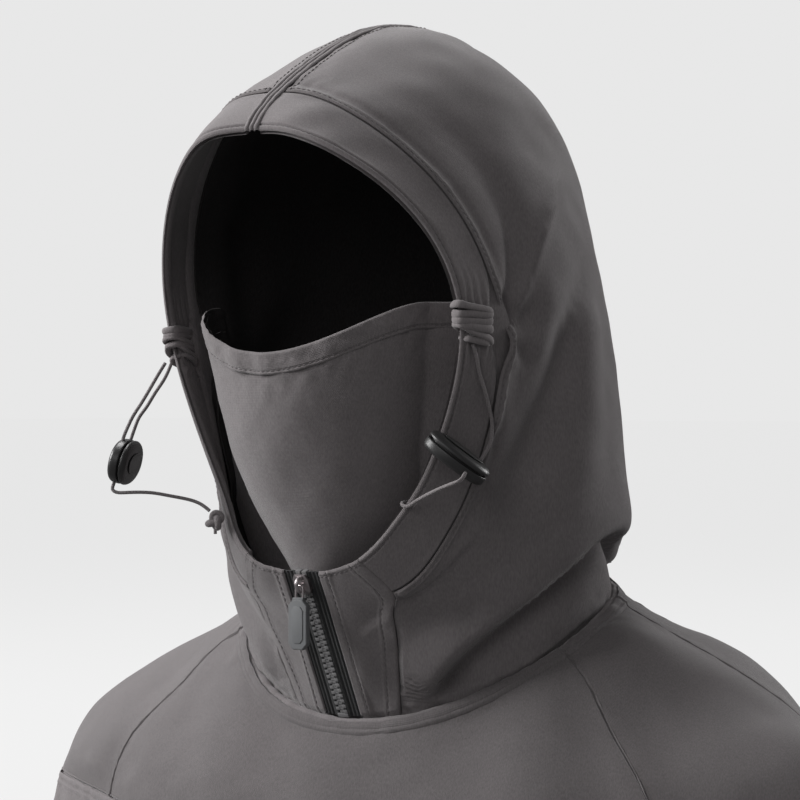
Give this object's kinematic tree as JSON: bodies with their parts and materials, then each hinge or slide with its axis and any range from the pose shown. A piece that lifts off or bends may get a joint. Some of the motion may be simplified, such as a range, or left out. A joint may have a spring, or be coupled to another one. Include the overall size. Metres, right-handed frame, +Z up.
{
  "type": "balaclava hood",
  "caption": "Softshell hood on a short shoulder yoke, with a built-in face mask, a front zip, and a drawcord with a cord lock on each side",
  "frame": {"origin": "centre of the bounding box in plan, on the plane of the yoke's hem, without the free cords", "axes": "+Z up from the hem to the crown, -Y the way the face looks, +X the wearer's left"},
  "size_m": [0.5382, 0.2594, 0.4226],
  "materials": {
    "softshell": "matt grey softshell with a fine knit face",
    "lining": "matt black brushed fleece",
    "mask_knit": "matt grey stretch knit",
    "zip_tape": "woven polyester tape, dark grey",
    "cord": "braided polyester cord, grey",
    "zip_teeth": "moulded acetal, mid grey",
    "pull_rubber": "matt moulded rubber, cool grey",
    "lock_plastic": "black moulded plastic with a fine spark texture",
    "slider_metal": "painted die-cast zinc, grey",
    "spring_steel": "drawn spring steel"
  },
  "bodies": {
    "hood": {"hood_side_left": "softshell", "hood_side_right": "softshell", "brim_band_left": "softshell", "brim_band_right": "softshell", "collar_front_left": "softshell", "collar_front_right": "softshell", "sleeve_front_left": "softshell", "sleeve_front_right": "softshell", "sleeve_back_left": "softshell", "sleeve_back_right": "softshell", "crown_strip": "softshell", "yoke_front": "softshell", "yoke_back": "softshell", "hem_band": "softshell", "neck_piping": "softshell", "hood_lining_left": "lining", "hood_lining_right": "lining", "zip_tape_left": "zip_tape", "zip_tape_right": "zip_tape", "cord_wrap_left": "cord", "cord_wrap_right": "cord", "drawcord_left": "cord", "drawcord_right": "cord", "drawcord_right_second_strand": "cord", "left_cord_knot": "cord", "right_cord_knot": "cord", "zip_teeth_left": "zip_teeth", "zip_teeth_right": "zip_teeth", "left_lock_base": "lock_plastic", "zip_bottom_stop": "slider_metal", "zip_top_stop_left": "slider_metal", "zip_top_stop_right": "slider_metal", "left_lock_spring": "spring_steel"},
    "mask": {"face_mask": "mask_knit", "mask_hem": "mask_knit"},
    "zip_slider": {"zip_slider_front": "slider_metal", "zip_slider_back": "slider_metal"},
    "zip_pull": {"zip_pull_link": "slider_metal", "zip_pull_tab": "pull_rubber"},
    "left_button": {"left_lock_button": "lock_plastic"},
    "right_lock": {"right_lock_base": "lock_plastic", "right_lock_spring": "spring_steel"},
    "right_button": {"right_lock_button": "lock_plastic"}
  },
  "joints": [
    {"name": "mask_pull_down", "type": "slide", "parent": "hood", "child": "mask", "axis": [0, 0.3991, -0.9169], "range_m": [0, 0.05]},
    {"name": "zip_travel", "type": "slide", "parent": "hood", "child": "zip_slider", "axis": [0, 0.3991, -0.9169], "range_m": [0, 0.058]},
    {"name": "zip_pull_swing", "type": "hinge", "parent": "zip_slider", "child": "zip_pull", "pos_m": [0, -0.09369, 0.13978], "axis": [1, 0, 0], "range_deg": [-140, 0]},
    {"name": "left_lock_press", "type": "slide", "parent": "hood", "child": "left_button", "axis": [-0.545, -0.275, -0.792], "range_m": [0, 0.0008], "stiffness_N_per_m": 600, "springref_m": -0.001},
    {"name": "right_lock_slide", "type": "slide", "parent": "hood", "child": "right_lock", "axis": [0.213, 0.1, 0.9719], "range_m": [0, 0.008]},
    {"name": "right_lock_press", "type": "slide", "parent": "right_lock", "child": "right_button", "axis": [-0.8451, -0.4801, 0.235], "range_m": [0, 0.0008], "stiffness_N_per_m": 600, "springref_m": -0.001}
  ]
}
